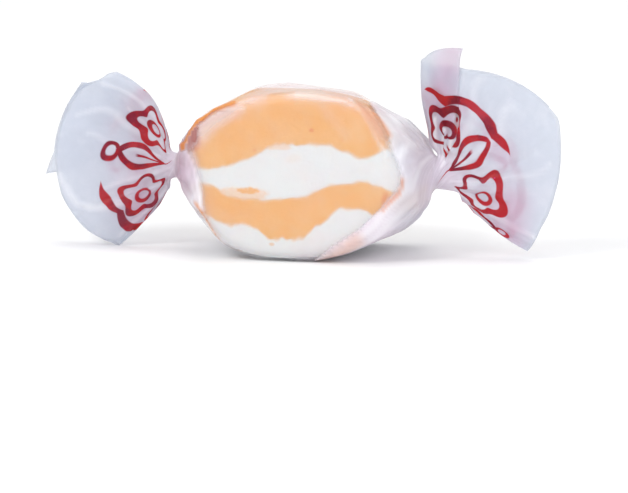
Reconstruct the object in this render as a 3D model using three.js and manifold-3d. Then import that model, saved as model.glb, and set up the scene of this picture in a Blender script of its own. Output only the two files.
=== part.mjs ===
// A piece of salt water taffy in its twisted wrapper of waxed paper.
// Four layers of taffy, orange and white in turn, stand on edge inside the paper.
// X runs along the twist, from left end to right end. The cut face looks to -Y. Z is up.
// The origin is the middle of the small flat spot that the piece rests on.
// All lengths are in millimetres and all angles in degrees.

import * as THREE from 'three';
import { mergeVertices } from 'three/addons/utils/BufferGeometryUtils.js';
import Module from 'manifold-3d';

// The lump of taffy: a short thick disc, its two cut faces to the front and the back.
const CANDY_HALF_WIDTH = 13.8;
const CANDY_HALF_HEIGHT = 9.9;
const CANDY_HALF_DEPTH = 8.9;
const OUTLINE_POWER = 2.3;
const EDGE_POWER = 7;
// How much the outline swells or shrinks at the front and at the back, every 30 degrees
// from the right end by way of the top.
const FRONT_SWELL = [0.02, -0.06, 0.07, 0.065, 0.05, 0.11, -0.04, -0.01, 0.02, 0, 0, -0.03];
const BACK_SWELL = [0, -0.2, -0.22, -0.13, 0.005, 0.03, 0, 0, 0, 0, 0, -0.01];
const CANDY_TURN_STEPS = 36;
const CANDY_EDGE_STEPS = 12;

// The seams between the layers on the front face, as places along X with their heights.
const SEAM_TOP = [
  [-15, 1.2], [-10.5, 1.1], [-8.5, 1.6], [-5, 3.1], [-3.2, 4.2], [1, 4.5],
  [4.5, 4.5], [6.5, 3.7], [9, 3.0], [11.5, 4.0], [15, 4.5],
];
const SEAM_MIDDLE = [
  [-15, -0.8], [-11, -1.1], [-9, -2.0], [-6.5, -2.6], [0.5, -2.3],
  [4.5, -0.7], [7, -0.3], [10.5, -0.3], [12, -1.2], [15, -1.8],
];
const SEAM_BOTTOM = [
  [-15, -4.4], [-11, -5.1], [-7.5, -6.1], [-5.2, -6.5], [-4, -7.3], [1, -7.4],
  [2.4, -6.3], [4.8, -4.1], [6.2, -3.45], [8, -3.7], [10, -4.2], [12, -3.8], [15, -3.7],
];
const SEAM_DRIFT = 0.9;
const SEAM_WAVE_HEIGHT = 0.3;
const SEAM_WAVE_LENGTH = 4;
const LAYER_GAP = 0.3;

// The sheet of waxed paper: it goes round a little more than once.
const PAPER_THICKNESS = 0.2;
const PAPER_STAND_OFF = 0.42;
const COLUMNS_PER_TURN = 32;
const LAP_COLUMNS = 5;
const LAP_TURNS = LAP_COLUMNS / COLUMNS_PER_TURN;
const LAP_STEP = 0.4;
const LAP_EDGE_ANGLE = -130;

// Where the paper leaves the lump, air stands under it from the first of these places on.
const AIR_FROM = 4;
const AIR_FULL = 11;
// With this factor the bulge of air is 1 high where it is highest.
const AIR_SHAPE = 27 / 4;
// The paper may leave the lump at any of this many places, up to the swollen end of the lump.
const LEAVING_PLACES = 40;
const END_SWELL = 0.6;
const HALVINGS = 30;

// The folds of the gathered paper, as distances from the neck or from the middle.
const TWIST_BEFORE_NECK = 1.6;
const TWIST_BEYOND_NECK = 1.3;
const PLEATS_PER_TURN = 8;
const PLEAT_DEPTH = 0.2;
const PLEATS_FROM_MIDDLE = 8.5;
const PLEATS_FULL_BEFORE_NECK = 1;
const PLEATS_FADE_FROM = 1.5;
const PLEATS_FADE_TO = 5;
const PULLED_FLAT = 2.1;
const RIPPLES_PER_TURN = 6;
const RIPPLE_DEPTH = 0.55;
const RIPPLE_START = 1;
const RIPPLES_FROM = 2;

// How a tail opens behind its neck: it is a full fan at this distance.
const FAN_LENGTH = 15;
const FAN_OPENS_FROM = -0.3;
const FAN_OPEN_AT = 2.4;
const SLANT_LENGTH = 1.5;

// Where the piece stands, below the twist axis.
const REST_DEPTH = 10.65;
const LAP_CLEARANCE = 0.22;
const CANDY_CLEARANCE = 0.3;
const CANDY_FLOOR = -REST_DEPTH + 2 * PAPER_THICKNESS + LAP_CLEARANCE + CANDY_CLEARANCE;

// The two ends of the wrapper. Each tail is a flattened fan, seen from the front.
// The reach is the length of paper beyond the neck: parts of a turn of the sheet with lengths.
const LEFT_END = {
  side: -1,
  neckPlace: 17.3,
  neckRadius: 1.45,
  neckSlant: 0,
  bulge: 0.3,
  bulgeBelow: 0,
  twist: -100,
  fanTop: [92, 15],
  fanBottom: [-75, -32],
  mouthHalf: 2.2,
  reach: [
    [0, 18.1], [0.03, 16.8], [0.15, 16.2], [0.22, 14.2], [0.28, 14.2], [0.39, 15.8], [0.5, 15.6],
    [0.63, 13.8], [0.7, 12.4], [0.76, 12.0], [0.84, 13.0], [0.9, 14.7], [0.96, 16.4], [1.156, 16.5],
  ],
};
const RIGHT_END = {
  side: 1,
  neckPlace: 16.2,
  neckRadius: 1.95,
  neckSlant: 2.0,
  bulge: 0.8,
  bulgeBelow: 0.6,
  twist: 174,
  fanTop: [105, 92],
  fanBottom: [-58, -20],
  mouthHalf: 2.2,
  reach: [
    [0, 12.0], [0.1, 12.4], [0.156, 13.4], [0.2, 14.4], [0.283, 17.0], [0.312, 15.9], [0.36, 14.1],
    [0.41, 13.1], [0.5, 12.6], [0.63, 12.6], [0.69, 13.5], [0.75, 15.1], [0.79, 15.6], [0.84, 14.2],
    [0.9, 12.8], [0.97, 12.6], [1.03, 13.0], [1.07, 13.6], [1.11, 14.9], [1.156, 16.1],
  ],
};

// How finely the paper is divided.
const SHEET_COLUMNS = COLUMNS_PER_TURN + LAP_COLUMNS;
const BODY_ROW_PARTS = [0, 0.16, 0.34, 0.52, 0.66, 0.77, 0.84];
const NECK_ROWS = [-1.6, -1.2, -0.85, -0.5, -0.15, 0.2, 0.55, 0.9, 1.3];
const TAIL_ROW_PARTS = [0.12, 0.2, 0.32, 0.48, 0.65, 0.83, 1];

// By how much a cutting block is larger than the lump, and what counts as one vertex.
const SPARE = 2;
const MERGE_DISTANCE = 1e-4;

const RADIANS = Math.PI / 180;
const TURN = 2 * Math.PI;

const ORANGE = { color: 0xf5ad56, roughness: 0.5, metalness: 0 };
const WHITE = { color: 0xeceae8, roughness: 0.5, metalness: 0 };
const PAPER = { color: 0xd8dce8, roughness: 0.35, metalness: 0 };

function smoothStep(low, high, value) {
  const part = THREE.MathUtils.clamp((value - low) / (high - low), 0, 1);
  return part * part * (3 - 2 * part);
}

// A cubic curve from one value to the next, with a slope at each.
function between(from, to, fromSlope, toSlope, part) {
  const leaving = (1 + 2 * part) * (1 - part) ** 2 * from + part * (1 - part) ** 2 * fromSlope;
  const arriving = part ** 2 * (3 - 2 * part) * to + part ** 2 * (part - 1) * toSlope;
  return leaving + arriving;
}

// A smooth curve through a short list of places with their heights.
function smoothThrough(knots, place) {
  const last = knots.length - 1;
  const at = THREE.MathUtils.clamp(place, knots[0][0], knots[last][0]);
  let step = 0;
  while (step < last - 1 && at > knots[step + 1][0]) step += 1;
  const slope = (k) => {
    const before = knots[Math.max(k - 1, 0)];
    const after = knots[Math.min(k + 1, last)];
    return (after[1] - before[1]) / (after[0] - before[0]);
  };
  const [from, to] = [knots[step], knots[step + 1]];
  const span = to[0] - from[0];
  return between(from[1], to[1], slope(step) * span, slope(step + 1) * span, (at - from[0]) / span);
}

// A smooth closed curve through values that stand evenly round a turn.
function smoothRound(values, angle) {
  const count = values.length;
  const at = ((angle / TURN) % 1 + 1) % 1 * count;
  const step = Math.floor(at);
  const part = at - step;
  const value = (k) => values[(k + count) % count];
  const slope = (k) => (value(k + 1) - value(k - 1)) / 2;
  return between(value(step), value(step + 1), slope(step), slope(step + 1), part);
}

// The outline of the cut face is a little uneven, as a soft lump is.
function outlineSwell(angle, y) {
  const back = (THREE.MathUtils.clamp(y / CANDY_HALF_DEPTH, -1, 1) + 1) / 2;
  return 1 + THREE.MathUtils.lerp(smoothRound(FRONT_SWELL, angle), smoothRound(BACK_SWELL, angle), back);
}

// Below 1 inside the lump, 1 on its surface and above 1 outside it.
function lumpGauge(x, y, z, standOff) {
  const acrossX = x / (CANDY_HALF_WIDTH + standOff);
  const acrossZ = z / (CANDY_HALF_HEIGHT + standOff);
  const angle = Math.atan2(acrossZ, acrossX);
  const outline = Math.abs(acrossX) ** OUTLINE_POWER + Math.abs(acrossZ) ** OUTLINE_POWER;
  const radial = outline ** (1 / OUTLINE_POWER) / outlineSwell(angle, y);
  return radial ** EDGE_POWER + Math.abs(y / (CANDY_HALF_DEPTH + standOff)) ** EDGE_POWER;
}

// How far the lump reaches from the twist axis, at one place along X and one angle round it.
// The angle is 0 to the front, 90 at the top and 180 at the back.
function lumpReach(x, angle) {
  let inside = 0;
  let outside = CANDY_HALF_WIDTH + CANDY_HALF_HEIGHT;
  for (let step = 0; step < HALVINGS; step += 1) {
    const middle = (inside + outside) / 2;
    const gauge = lumpGauge(x, -middle * Math.cos(angle), middle * Math.sin(angle), PAPER_STAND_OFF);
    if (gauge < 1) inside = middle;
    else outside = middle;
  }
  return inside;
}

// The paper lies on the lump, then runs straight from it to the neck, with some air under it.
function tautReach(end, along, angle) {
  const lumpEnd = CANDY_HALF_WIDTH + PAPER_STAND_OFF + END_SWELL;
  const below = end.bulgeBelow * Math.max(0, -Math.sin(angle));
  const bulge = end.bulge + below;
  let reach = 0;
  for (let step = 0; step <= LEAVING_PLACES; step += 1) {
    const from = Math.min(along, lumpEnd) * (step / LEAVING_PLACES);
    const start = lumpReach(end.side * from, angle);
    const part = (along - from) / (end.neckPlace - from);
    const line = start + (end.neckRadius - start) * part;
    const air = bulge * AIR_SHAPE * part * (1 - part) ** 2 * smoothStep(AIR_FROM, AIR_FULL, from);
    reach = Math.max(reach, line + air);
  }
  return reach;
}

// The direction in which the paper of a tail runs, in the plane of the fan.
function fanDirection(end, height, beyond) {
  const part = Math.min(beyond / FAN_LENGTH, 1);
  const top = THREE.MathUtils.lerp(end.fanTop[0], end.fanTop[1], part);
  const bottom = THREE.MathUtils.lerp(end.fanBottom[0], end.fanBottom[1], part);
  const opened = smoothStep(FAN_OPENS_FROM, FAN_OPEN_AT, beyond);
  return opened * THREE.MathUtils.lerp(bottom, top, (height + 1) / 2) * RADIANS;
}

// A point of the sheet and the direction that leads away from the twist there, for a distance
// from the middle along the twist and a part of a turn.
function sheetPoint(end, along, turn) {
  const twistStart = end.neckPlace - TWIST_BEFORE_NECK;
  const twistStop = end.neckPlace + TWIST_BEYOND_NECK;
  const twistPart = smoothStep(twistStart, twistStop, along);
  const sheetAngle = LAP_EDGE_ANGLE + 360 * (1 + LAP_TURNS - turn);
  const angle = (sheetAngle + end.twist * twistPart) * RADIANS;
  const gathered = smoothStep(PLEATS_FROM_MIDDLE, end.neckPlace - PLEATS_FULL_BEFORE_NECK, along);
  const beyond = Math.max(along - end.neckPlace, 0);
  const fold = 0.5 + 0.5 * Math.cos(TURN * PLEATS_PER_TURN * turn);
  // The twist pulls the folds flat where it is tightest.
  const loose = smoothStep(0, PULLED_FLAT, Math.abs(along - end.neckPlace));
  const fading = 1 - smoothStep(PLEATS_FADE_FROM, PLEATS_FADE_TO, beyond);
  const pleat = PLEAT_DEPTH * gathered * fold * loose * fading;
  const height = Math.sin(angle);
  const front = Math.cos(angle);
  if (along <= end.neckPlace) {
    const away = new THREE.Vector3(0, -front, height);
    const point = away.clone().multiplyScalar(tautReach(end, along, angle) + pleat);
    point.x = end.side * along;
    return { point, away };
  }
  let x = end.neckPlace + end.neckSlant * smoothStep(0, SLANT_LENGTH, beyond) * (1 - height) / 2;
  let z = end.neckRadius * height;
  const steps = Math.max(4, Math.ceil(beyond * 2));
  for (let step = 0; step < steps; step += 1) {
    const direction = fanDirection(end, height, beyond * (step + 0.5) / steps);
    x += Math.cos(direction) * beyond / steps;
    z += Math.sin(direction) * beyond / steps;
  }
  const opening = smoothStep(0, FAN_LENGTH, beyond);
  const wave = Math.cos(TURN * RIPPLES_PER_TURN * turn + RIPPLE_START);
  const ripple = RIPPLE_DEPTH * smoothStep(RIPPLES_FROM, FAN_LENGTH, beyond) * wave;
  const half = THREE.MathUtils.lerp(end.neckRadius, end.mouthHalf, opening) + ripple;
  const direction = fanDirection(end, height, beyond);
  const away = new THREE.Vector3(
    -end.side * Math.sin(direction) * height,
    -front,
    Math.cos(direction) * height,
  );
  const point = new THREE.Vector3(end.side * x, -half * front, z).addScaledVector(away, pleat);
  return { point, away };
}

// The flat spot that the piece rests on: the inner lap lies on the outer one.
function flattenBelow(point, turn, innerSide) {
  const lapLift = turn < 0.5 ? PAPER_THICKNESS + LAP_CLEARANCE : 0;
  const lowest = -REST_DEPTH + lapLift + (innerSide ? PAPER_THICKNESS : 0);
  point.z = Math.max(point.z, lowest);
}

// The paper has two sides. It winds outward, so that its outer lap clears the inner one.
function paperSides(end, along, turn) {
  const smallStep = 0.02;
  const smallTurn = 0.002;
  const pointAt = (place, part) => sheetPoint(end, place, part).point;
  const { point, away } = sheetPoint(end, along, turn);
  const further = pointAt(along + smallStep, turn).sub(pointAt(along - smallStep, turn));
  const round = pointAt(along, turn + smallTurn).sub(pointAt(along, turn - smallTurn));
  const outward = further.cross(round).normalize().multiplyScalar(-end.side);
  const lapDirection = away.add(outward).normalize();
  const centre = point.addScaledVector(lapDirection, LAP_STEP * turn);
  const outer = centre.clone().addScaledVector(outward, PAPER_THICKNESS / 2);
  const inner = centre.clone().addScaledVector(outward, -PAPER_THICKNESS / 2);
  flattenBelow(outer, turn, false);
  flattenBelow(inner, turn, true);
  return { outer, inner };
}

// One row of the sheet for each place along the twist, from the left rim to the right rim.
function sheetRows() {
  const rowsOf = (end) => {
    const body = BODY_ROW_PARTS.map((part) => () => part * end.neckPlace);
    const neck = NECK_ROWS.map((place) => () => end.neckPlace + place);
    const tail = TAIL_ROW_PARTS.map((part) => (turn) => {
      return end.neckPlace + part * smoothThrough(end.reach, turn);
    });
    return [...body, ...neck, ...tail].map((along) => ({ end, along }));
  };
  const left = rowsOf(LEFT_END).reverse();
  const right = rowsOf(RIGHT_END);
  return [...left.slice(0, -1), ...right];
}

function makeWrapperGeometry() {
  const rows = sheetRows();
  const columns = SHEET_COLUMNS + 1;
  const outer = [];
  const inner = [];
  for (const { end, along } of rows) {
    for (let column = 0; column < columns; column += 1) {
      const turn = column / COLUMNS_PER_TURN;
      const sides = paperSides(end, along(turn), turn);
      outer.push(sides.outer);
      inner.push(sides.inner);
    }
  }
  const count = outer.length;
  const faces = [];
  const addQuad = (a, b, c, d) => faces.push(a, b, c, a, c, d);
  for (let row = 0; row < rows.length - 1; row += 1) {
    // The patches of a row are split along the diagonal that is shorter where the paper is twisted.
    const corner = row * columns + Math.floor(columns / 2);
    const leansForward = outer[corner].distanceTo(outer[corner + columns + 1])
      < outer[corner + 1].distanceTo(outer[corner + columns]);
    for (let column = 0; column < SHEET_COLUMNS; column += 1) {
      const a = row * columns + column;
      const b = a + columns;
      if (leansForward) {
        addQuad(a, a + 1, b + 1, b);
        addQuad(count + a, count + b, count + b + 1, count + a + 1);
      } else {
        addQuad(a + 1, b + 1, b, a);
        addQuad(count + a + 1, count + a, count + b, count + b + 1);
      }
    }
  }
  const lastRow = (rows.length - 1) * columns;
  for (let column = 0; column < SHEET_COLUMNS; column += 1) {
    addQuad(column + 1, column, count + column, count + column + 1);
    addQuad(lastRow + column, lastRow + column + 1, count + lastRow + column + 1, count + lastRow + column);
  }
  for (let row = 0; row < rows.length - 1; row += 1) {
    const first = row * columns;
    const last = first + SHEET_COLUMNS;
    addQuad(first, first + columns, count + first + columns, count + first);
    addQuad(last + columns, last, count + last, count + last + columns);
  }
  const geometry = new THREE.BufferGeometry();
  geometry.setFromPoints([...outer, ...inner]);
  geometry.setIndex(faces);
  return geometry;
}

// The whole lump of taffy, closed at the middle of each cut face.
function makeLumpGeometry() {
  const points = [];
  const faces = [];
  const ringCount = CANDY_EDGE_STEPS - 1;
  for (let ring = 1; ring <= ringCount; ring += 1) {
    const profile = Math.PI * (ring / CANDY_EDGE_STEPS - 0.5);
    const depthPart = Math.sin(profile);
    const widthPart = Math.cos(profile);
    const scale = (Math.abs(depthPart) ** EDGE_POWER + widthPart ** EDGE_POWER) ** (-1 / EDGE_POWER);
    for (let step = 0; step < CANDY_TURN_STEPS; step += 1) {
      const angle = TURN * step / CANDY_TURN_STEPS;
      const right = Math.cos(angle);
      const up = Math.sin(angle);
      const power = Math.abs(right) ** OUTLINE_POWER + Math.abs(up) ** OUTLINE_POWER;
      const y = CANDY_HALF_DEPTH * scale * depthPart;
      const radial = widthPart * scale * outlineSwell(angle, y) * power ** (-1 / OUTLINE_POWER);
      const z = Math.max(CANDY_HALF_HEIGHT * radial * up, CANDY_FLOOR);
      points.push(new THREE.Vector3(CANDY_HALF_WIDTH * radial * right, y, z));
    }
  }
  const frontPole = points.length;
  points.push(new THREE.Vector3(0, -CANDY_HALF_DEPTH, 0));
  points.push(new THREE.Vector3(0, CANDY_HALF_DEPTH, 0));
  for (let step = 0; step < CANDY_TURN_STEPS; step += 1) {
    const next = (step + 1) % CANDY_TURN_STEPS;
    for (let ring = 0; ring < ringCount - 1; ring += 1) {
      const a = ring * CANDY_TURN_STEPS + step;
      const b = ring * CANDY_TURN_STEPS + next;
      faces.push(a, b + CANDY_TURN_STEPS, b);
      faces.push(a, a + CANDY_TURN_STEPS, b + CANDY_TURN_STEPS);
    }
    const lastRing = (ringCount - 1) * CANDY_TURN_STEPS;
    faces.push(frontPole, step, next);
    faces.push(frontPole + 1, lastRing + next, lastRing + step);
  }
  const geometry = new THREE.BufferGeometry();
  geometry.setFromPoints(points);
  geometry.setIndex(faces);
  return geometry;
}

// The height of a seam inside the lump: it drifts a little from the front face to the back.
function seamHeight(heights, x, y) {
  const drift = SEAM_DRIFT * (y / CANDY_HALF_DEPTH + 1) / 2;
  const wave = SEAM_WAVE_HEIGHT * drift * Math.sin(x / SEAM_WAVE_LENGTH);
  return smoothThrough(heights, x + drift) - wave;
}

// A block between two seams, wider and deeper than the lump.
function makeLayerBlockGeometry(lowerHeight, upperHeight) {
  const acrossSteps = 22;
  const deepSteps = 3;
  const halfWidth = CANDY_HALF_WIDTH + SPARE;
  const halfDepth = CANDY_HALF_DEPTH + SPARE / 2;
  const points = [];
  for (const height of [upperHeight, lowerHeight]) {
    for (let deep = 0; deep <= deepSteps; deep += 1) {
      for (let across = 0; across <= acrossSteps; across += 1) {
        const x = halfWidth * (2 * across / acrossSteps - 1);
        const y = halfDepth * (2 * deep / deepSteps - 1);
        points.push(new THREE.Vector3(x, y, height(x, y)));
      }
    }
  }
  const width = acrossSteps + 1;
  const count = width * (deepSteps + 1);
  const faces = [];
  const addQuad = (a, b, c, d) => faces.push(a, b, c, a, c, d);
  for (let deep = 0; deep < deepSteps; deep += 1) {
    for (let across = 0; across < acrossSteps; across += 1) {
      const a = deep * width + across;
      addQuad(a, a + 1, a + width + 1, a + width);
      addQuad(count + a, count + a + width, count + a + width + 1, count + a + 1);
    }
    const left = deep * width;
    const right = left + acrossSteps;
    addQuad(left, left + width, count + left + width, count + left);
    addQuad(right + width, right, count + right, count + right + width);
  }
  const back = deepSteps * width;
  for (let across = 0; across < acrossSteps; across += 1) {
    addQuad(across + 1, across, count + across, count + across + 1);
    addQuad(back + across, back + across + 1, count + back + across + 1, count + back + across);
  }
  const geometry = new THREE.BufferGeometry();
  geometry.setFromPoints(points);
  geometry.setIndex(faces);
  return geometry;
}

const wasm = await Module();
wasm.setup();

function toSolid(geometry) {
  const bare = mergeVertices(geometry, MERGE_DISTANCE);
  const mesh = new wasm.Mesh({
    numProp: 3,
    vertProperties: new Float32Array(bare.attributes.position.array),
    triVerts: new Uint32Array(bare.index.array),
  });
  return new wasm.Manifold(mesh);
}

function toGeometry(solid) {
  const mesh = solid.getMesh();
  const geometry = new THREE.BufferGeometry();
  geometry.setAttribute('position', new THREE.BufferAttribute(new Float32Array(mesh.vertProperties), 3));
  geometry.setIndex(new THREE.BufferAttribute(new Uint32Array(mesh.triVerts), 1));
  return geometry;
}

// One layer of taffy: the part of the lump between two seams, clear of its neighbours.
function makeLayerGeometry(lowerSeam, upperSeam) {
  const outOfReach = CANDY_HALF_HEIGHT + SPARE;
  const lower = (x, y) => (lowerSeam ? seamHeight(lowerSeam, x, y) + LAYER_GAP / 2 : -outOfReach);
  const upper = (x, y) => (upperSeam ? seamHeight(upperSeam, x, y) - LAYER_GAP / 2 : outOfReach);
  const lump = toSolid(makeLumpGeometry());
  const block = toSolid(makeLayerBlockGeometry(lower, upper));
  return toGeometry(lump.intersect(block));
}

function addPiece(parent, name, geometry, look) {
  geometry.computeVertexNormals();
  const mesh = new THREE.Mesh(geometry, new THREE.MeshStandardMaterial(look));
  mesh.name = name;
  parent.add(mesh);
}

const group = new THREE.Group();
const onAxis = new THREE.Group();
onAxis.position.z = REST_DEPTH;
group.add(onAxis);

addPiece(onAxis, 'taffy_orange_top', makeLayerGeometry(SEAM_TOP, null), ORANGE);
addPiece(onAxis, 'taffy_white_middle', makeLayerGeometry(SEAM_MIDDLE, SEAM_TOP), WHITE);
addPiece(onAxis, 'taffy_orange_lower', makeLayerGeometry(SEAM_BOTTOM, SEAM_MIDDLE), ORANGE);
addPiece(onAxis, 'taffy_white_bottom', makeLayerGeometry(null, SEAM_BOTTOM), WHITE);
addPiece(onAxis, 'wrapper', makeWrapperGeometry(), PAPER);

export default group;
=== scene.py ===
"""A piece of salt water taffy in twisted waxed paper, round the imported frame.

Lengths in this script are in millimetres until a mesh is made. X runs along the twist,
the cut face of the taffy looks to -Y, and the twist axis is REST_DEPTH above the floor.
"""
import math

import bpy
import numpy as np
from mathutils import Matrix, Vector


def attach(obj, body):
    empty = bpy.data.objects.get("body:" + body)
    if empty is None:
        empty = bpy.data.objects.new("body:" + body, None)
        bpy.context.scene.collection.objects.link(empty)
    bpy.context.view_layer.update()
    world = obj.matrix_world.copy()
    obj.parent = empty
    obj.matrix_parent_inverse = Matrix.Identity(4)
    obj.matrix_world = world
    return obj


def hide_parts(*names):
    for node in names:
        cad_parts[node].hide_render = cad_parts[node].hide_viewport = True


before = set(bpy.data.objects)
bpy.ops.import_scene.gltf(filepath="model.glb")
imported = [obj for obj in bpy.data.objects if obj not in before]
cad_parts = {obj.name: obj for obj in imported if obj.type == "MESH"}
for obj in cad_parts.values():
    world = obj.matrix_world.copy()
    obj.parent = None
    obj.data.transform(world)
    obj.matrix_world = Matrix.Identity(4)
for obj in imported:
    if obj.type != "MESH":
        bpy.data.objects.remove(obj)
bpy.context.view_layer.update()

MM = 0.001
TURN = 2 * np.pi

# The camera stands where the photograph was taken from, with a long lens.
CAMERA_AZIMUTH = 12
CAMERA_ELEVATION = 9
CAMERA_DISTANCE = 0.9
SENSOR_WIDTH = 36
VIEW_WIDTH = 79.6
VIEW_RIGHT = 0.43
VIEW_DOWN = 9.83

# The lump of taffy, a little fuller than its solid in the frame.
REST_DEPTH = 10.65
HALF_WIDTH = 14.2
HALF_HEIGHT = 10.25
HALF_DEPTH = 9.35
OUTLINE_POWER = 2.3
EDGE_POWER = 11
FRONT_SWELL = [0.03, -0.06, 0.07, 0.065, 0.05, 0.09, -0.015, -0.02, 0.04, 0.01, -0.03, -0.06]
BACK_SWELL = [0, -0.18, -0.18, -0.125, 0.025, 0.03, 0, 0, 0, -0.01, -0.02, -0.02]
CANDY_FLOOR = -REST_DEPTH + 0.25
# How far the lump may reach along X beyond its half width, where it swells.
END_SWELL = 0.6

# The seams between the layers of taffy on the front face, as places along X and heights.
SEAM_TOP = [
    (-15, 1.2), (-10.5, 1.1), (-8.5, 1.6), (-5, 3.1), (-3.2, 4.2), (1, 4.5),
    (4.5, 4.5), (6.5, 3.7), (9, 3.0), (11.5, 4.0), (15, 4.5),
]
SEAM_MIDDLE = [
    (-15, -0.8), (-11, -1.1), (-9, -2.0), (-6.5, -2.6), (0.5, -2.3),
    (4.5, -0.7), (7, -0.3), (10.5, -0.3), (12, -1.2), (15, -1.8),
]
SEAM_BOTTOM = [
    (-15, -4.4), (-11, -5.1), (-7.5, -6.1), (-5.2, -6.5), (-4, -7.3), (1, -7.4),
    (2.4, -6.3), (4.8, -4.1), (6.2, -3.45), (8, -3.7), (10, -4.2), (12, -3.8), (15, -3.7),
]
SEAM_DRIFT = 0.9
SEAM_WAVE_HEIGHT = 0.3
SEAM_WAVE_LENGTH = 4
SEAM_GAP = 0.004

# The sheet of waxed paper.
PAPER_THICKNESS = 0.05
PAPER_STAND_OFF = 0.08
PAPER_ABOVE_TOP = 0.05
# The paper lies round the lump in flat panels, which face these ways: 0 to the right, 90 up.
PANEL_HEADINGS = [10, 36, 60, 84, 98, 117, 132, 148, 170, 196, 214, 232, 250, 270, 284, 300, 320, 340]
PANEL_POWER = 64
PAPER_EDGE_POWER = 12
LAP_TURNS = 5 / 32
LAP_STEP = 0.16
LAP_EDGE_ANGLE = -130
LAP_LIFT = 0.12
AIR_FROM = 4
AIR_FULL = 11
AIR_SHAPE = 27 / 4

# Where the twist of each end begins and stops, before and beyond its neck.
TWIST_BEFORE_NECK = 1.6
TWIST_BEYOND_NECK = 1.3
FAN_LENGTH = 15
FAN_OPENS_FROM = -0.3
FAN_OPEN_AT = 2.4
SLANT_LENGTH = 1.5
SHIFT_FULL_AT = 2.5
PULLED_FLAT = (0.9, 2.4)
RIPPLES_PER_TURN = 6
RIPPLE_DEPTH = 0.4
RIPPLES_FROM = 2

# Sharp folds of the paper, as lines on the sheet: each point is a part of a turn and a distance
# beyond the neck, which is below 0 on the body. Then the height and the half width of the fold.
# Each fold also gets a painted highlight along its line: whiter, more opaque paper.
LEFT_FOLDS = [
    ([(0.634, -3.7), (0.679, -7.4), (0.671, -10.7)], 0.08, 0.5),
    ([(0.737, -3.3), (0.78, -4.4), (0.812, -4.9), (0.86, -5.3)], 0.12, 0.7),
    ([(0.69, -4.6), (0.728, -4.3), (0.737, -3.3), (0.74, -1.5)], 0.12, 0.7),
    ([(0.80, -3.6), (0.82, -1.2)], 0.12, 0.6),
    ([(0.86, -4.2), (0.85, -1.2)], 0.12, 0.6),
    ([(0.34, 1.5), (0.35, 13.5)], 0.07, 0.9),
    ([(0.41, 2.0), (0.43, 14.0)], 0.06, 0.9),
    ([(0.545, 15.2), (0.59, 13.4), (0.607, 10.3), (0.62, 7.0)], 0.1, 0.9),
    ([(0.71, 1.5), (0.70, 11.0)], 0.08, 0.9),
    ([(0.38, 1.2), (0.39, 9.0)], 0.05, 0.5),
    ([(0.47, 1.2), (0.475, 12.0)], 0.05, 0.5),
    ([(0.56, 1.2), (0.565, 10.0)], 0.05, 0.5),
    ([(0.90, 1.5), (0.87, 14.0)], 0.16, 0.7),
    ([(0.08, 2.0), (0.12, 14.0)], 0.16, 0.7),
]
RIGHT_FOLDS = [
    ([(0.732, -2.9), (0.70, -2.4), (0.67, -1.9)], 0.12, 0.7),
    ([(0.808, -0.7), (0.812, -2.0), (0.83, -3.5), (0.866, -5.8), (0.911, -9.7)], 0.11, 0.8),
    ([(0.86, -1.6), (0.875, -4.0), (0.897, -6.6), (0.93, -11.0)], 0.1, 0.8),
    ([(0.70, -2.2), (0.64, -4.5), (0.60, -6.5)], 0.1, 0.8),
    ([(0.56, -1.4), (0.53, -5.0)], 0.1, 0.7),
    ([(0.674, -12.4), (0.705, -9.7)], 0.02, 1.1),
    ([(0.652, -9.4), (0.674, -7.7), (0.688, -6.7), (0.705, -5.7), (0.728, -4.6)], 0.08, 0.45),
    ([(0.20, 2.0), (0.19, 13.0)], 0.06, 0.9),
    ([(0.25, 3.0), (0.246, 13.0)], 0.06, 0.9),
    ([(0.12, 2.0), (0.11, 12.0)], 0.08, 0.9),
    ([(0.42, 1.5), (0.45, 12.5)], 0.1, 0.9),
    ([(0.16, 1.2), (0.155, 12.0)], 0.05, 0.5),
    ([(0.33, 1.2), (0.325, 14.0)], 0.05, 0.5),
    ([(0.07, 1.2), (0.06, 11.0)], 0.05, 0.5),
    ([(1.06, 1.0), (1.075, 6.0)], 0.16, 0.5),
    ([(1.10, 1.0), (1.11, 5.0)], 0.16, 0.5),
    ([(1.13, 0.8), (1.135, 4.0)], 0.14, 0.4),
    ([(0.66, 1.5), (0.68, 12.0)], 0.16, 0.7),
    ([(0.80, 1.5), (0.83, 12.0)], 0.16, 0.7),
]
# Lines where the taffy's colour shows through the folded paper, with their half width and strength,
# and how the colour is: 0 orange, 1 salmon, 2 mauve, which is painted shade of the taffy under the folds, 3
# rose.
LEFT_TINGES = [
    ([(0.727, -3.8), (0.712, -4.3)], 1.1, 1.0, 2),
    ([(0.72, -4.35), (0.702, -4.6)], 0.45, 1.5, 2),
    ([(0.728, -2.9), (0.714, -3.2), (0.703, -3.6), (0.686, -4.8), (0.676, -5.9), (0.667, -6.95)], 0.5, 2, 0),
    ([(0.668, -6.95), (0.664, -9.2)], 0.9, 1.2, 0.1),
    ([(0.692, -5.2), (0.686, -6.8), (0.677, -8.6)], 0.9, 0.35, 3),
    ([(0.855, -4.6), (0.92, -7.6), (0.96, -10.5)], 0.4, 1.0, 0.2),
    ([(0.80, -1.2), (0.78, -3.2)], 3.0, 0.7, 3),
    ([(0.43, -17.3), (0.43, -9.0)], 2.5, 0.3, 0.7),
]
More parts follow.
